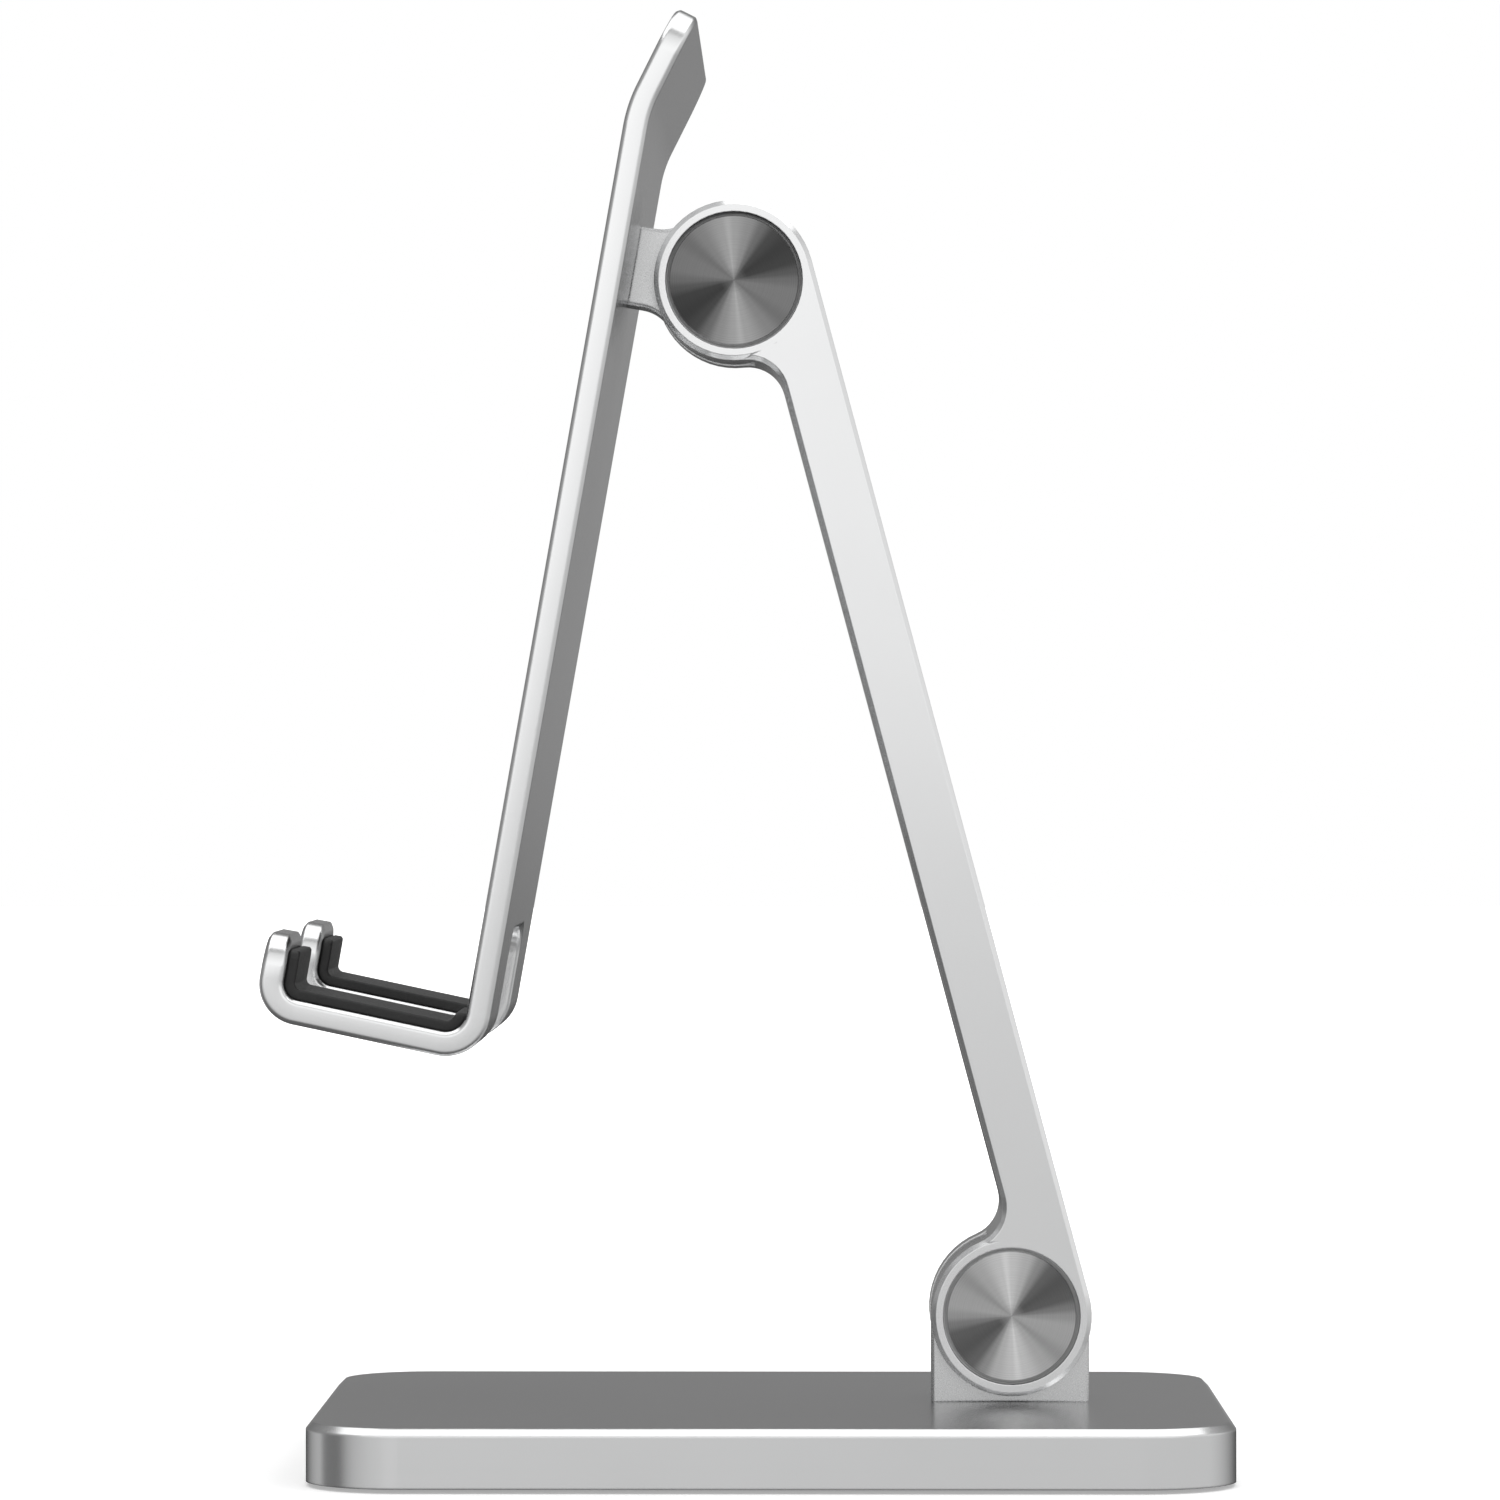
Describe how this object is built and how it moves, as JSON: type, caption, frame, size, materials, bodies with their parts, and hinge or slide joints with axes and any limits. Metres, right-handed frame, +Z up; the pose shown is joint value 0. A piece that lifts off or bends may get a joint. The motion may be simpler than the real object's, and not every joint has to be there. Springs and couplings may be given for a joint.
{
  "type": "tablet stand",
  "caption": "Folding desk stand for a tablet: heavy round-cornered base, slim arm and bent back panel with hooked tray, joined by friction hinges under spun discs.",
  "frame": {"origin": "middle of the base's underside, on the desk", "axes": "+Z up from the desk, -Y towards the user, X from side to side along both hinge axes"},
  "size_m": [0.09, 0.1252, 0.1899],
  "materials": {
    "anodised_aluminium": "satin",
    "spun_aluminium": "spun",
    "dark_silicone": "matte",
    "friction_polymer": "matte",
    "zinc_steel": "satin"
  },
  "bodies": {
    "base": {"base_plate": "anodised_aluminium", "counterweight": "zinc_steel", "counterweight_screws": "zinc_steel", "base_pad": "dark_silicone", "base_bracket": "anodised_aluminium", "base_bracket_screws": "zinc_steel"},
    "arm": {"arm": "anodised_aluminium", "lower_pivot_bolt": "zinc_steel", "lower_pivot_nut": "zinc_steel", "lower_spring_washers": "zinc_steel", "lower_friction_washers": "friction_polymer", "lower_cap_left": "spun_aluminium", "lower_cap_right": "spun_aluminium", "upper_pivot_bolt": "zinc_steel", "upper_pivot_nut": "zinc_steel", "upper_spring_washers": "zinc_steel", "upper_friction_washers": "friction_polymer", "upper_cap_left": "spun_aluminium", "upper_cap_right": "spun_aluminium"},
    "panel": {"panel_bracket": "anodised_aluminium", "panel_bracket_screw": "zinc_steel", "support_panel": "anodised_aluminium", "front_pad": "dark_silicone", "hook_pad_left": "dark_silicone", "hook_pad_right": "dark_silicone"}
  },
  "joints": [
    {"name": "arm_hinge", "type": "hinge", "parent": "base", "child": "arm", "pos_m": [0, 0.0317, 0.02], "axis": [1, 0, 0], "range_deg": [-45, 28]},
    {"name": "panel_hinge", "type": "hinge", "parent": "arm", "child": "panel", "pos_m": [0, -0.005, 0.15697], "axis": [1, 0, 0], "range_deg": [-150, 30]}
  ]
}
